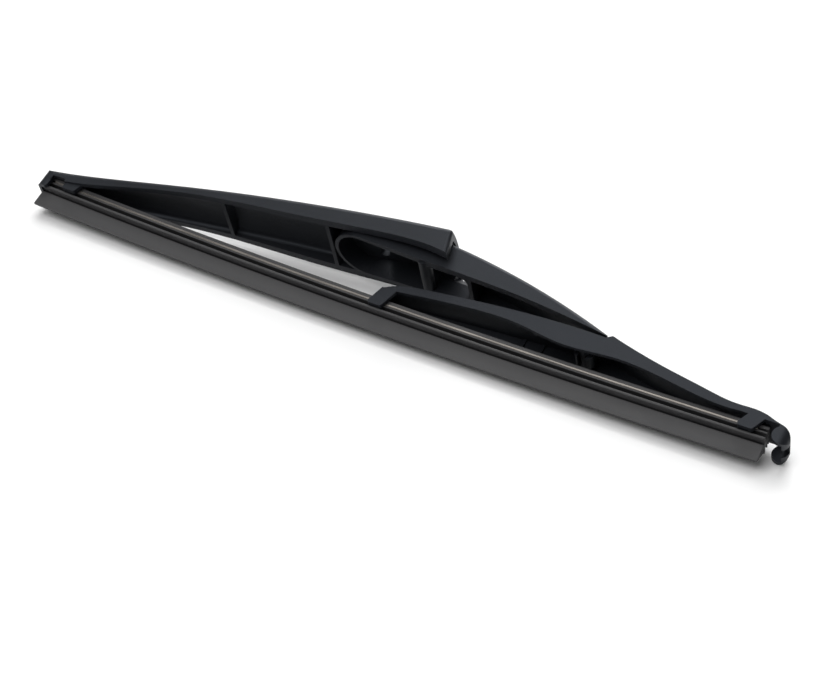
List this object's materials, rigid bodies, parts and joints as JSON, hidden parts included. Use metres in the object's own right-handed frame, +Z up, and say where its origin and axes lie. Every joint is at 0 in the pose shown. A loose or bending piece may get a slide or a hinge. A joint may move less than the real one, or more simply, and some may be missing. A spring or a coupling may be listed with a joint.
{
  "type": "wiper blade",
  "caption": "Rear window wiper blade: hooded plastic lever with an arm pocket and cross bar, a rocking yoke and a sprung rubber strip.",
  "frame": {"origin": "middle of the bounding box, on the surface that the blade lies on", "axes": "+X along the blade from the hooded end to the yoke's end; +Z up from the surface; the lip points towards -Y and the blade lies on its side, rolled 25.6 degrees about +X"},
  "size_m": [0.258, 0.0385, 0.0296],
  "materials": {
    "lever_plastic": "matte",
    "strip_rubber": "matte",
    "spring_steel": "brushed"
  },
  "bodies": {
    "lever": {"main_lever": "lever_plastic", "wiper_rubber": "strip_rubber", "flexor_near": "spring_steel", "flexor_far": "spring_steel"},
    "rocker": {"yoke": "lever_plastic"}
  },
  "joints": [
    {"name": "yoke_rock", "type": "hinge", "parent": "lever", "child": "rocker", "pos_m": [0.063, -0.00307, 0.00924], "axis": [0, -0.4316, 0.9021], "range_deg": [-4, 3], "deforming": ["wiper_rubber", "flexor_near", "flexor_far"]}
  ]
}
